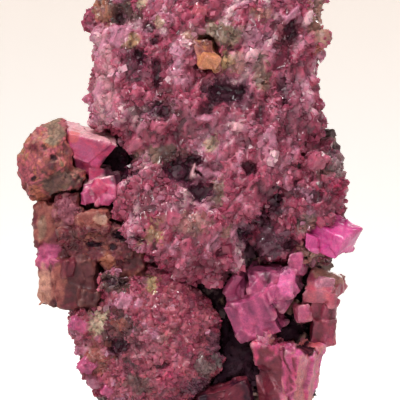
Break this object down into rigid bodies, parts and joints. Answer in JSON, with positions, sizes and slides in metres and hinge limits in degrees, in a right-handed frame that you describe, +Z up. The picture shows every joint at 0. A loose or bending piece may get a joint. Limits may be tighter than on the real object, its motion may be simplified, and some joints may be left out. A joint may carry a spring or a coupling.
{
  "type": "cobaltoan dolomite on matrix",
  "caption": "Upright hand specimen of rough host rock with a druse of small pink dolomite rhombs, larger magenta crystals in its pockets, and a flat broken base.",
  "frame": {"origin": "on the flat broken base, below the middle of the specimen", "axes": "+Z up, -Y towards the crystal-covered front, +X to the right when facing the front"},
  "size_m": [0.0479, 0.0249, 0.0675],
  "materials": {
    "host_rock": "rough broken grey-brown rock with dark manganese films",
    "pink_druse": "sparkling druse of small dusty-rose rhombs",
    "weathered_dolomite": "pitted salmon and olive weathered crust",
    "brown_dolomite": "brown iron-stained cleavage faces with a pearly sheen",
    "magenta_dolomite": "vitreous magenta, slightly translucent",
    "purple_dolomite": "vitreous purple-magenta, slightly translucent",
    "rose_dolomite": "rose to brick-red crystals with tan iron-stained skins",
    "amber_dolomite": "iron-stained amber, slightly translucent"
  },
  "bodies": {
    "root": {"matrix": "host_rock", "upper_druse_crust": "pink_druse", "right_druse_flank": "pink_druse", "lower_druse_nodule": "pink_druse", "weathered_lump": "weathered_dolomite", "left_brown_crystals": "brown_dolomite", "left_pocket_crystals": "magenta_dolomite", "right_point_crystal": "magenta_dolomite", "central_crystal_cluster": "purple_dolomite", "right_tabular_crystals": "rose_dolomite", "lower_right_crystals": "rose_dolomite", "bottom_crystals": "rose_dolomite", "amber_crystal": "amber_dolomite"}
  },
  "joints": []
}
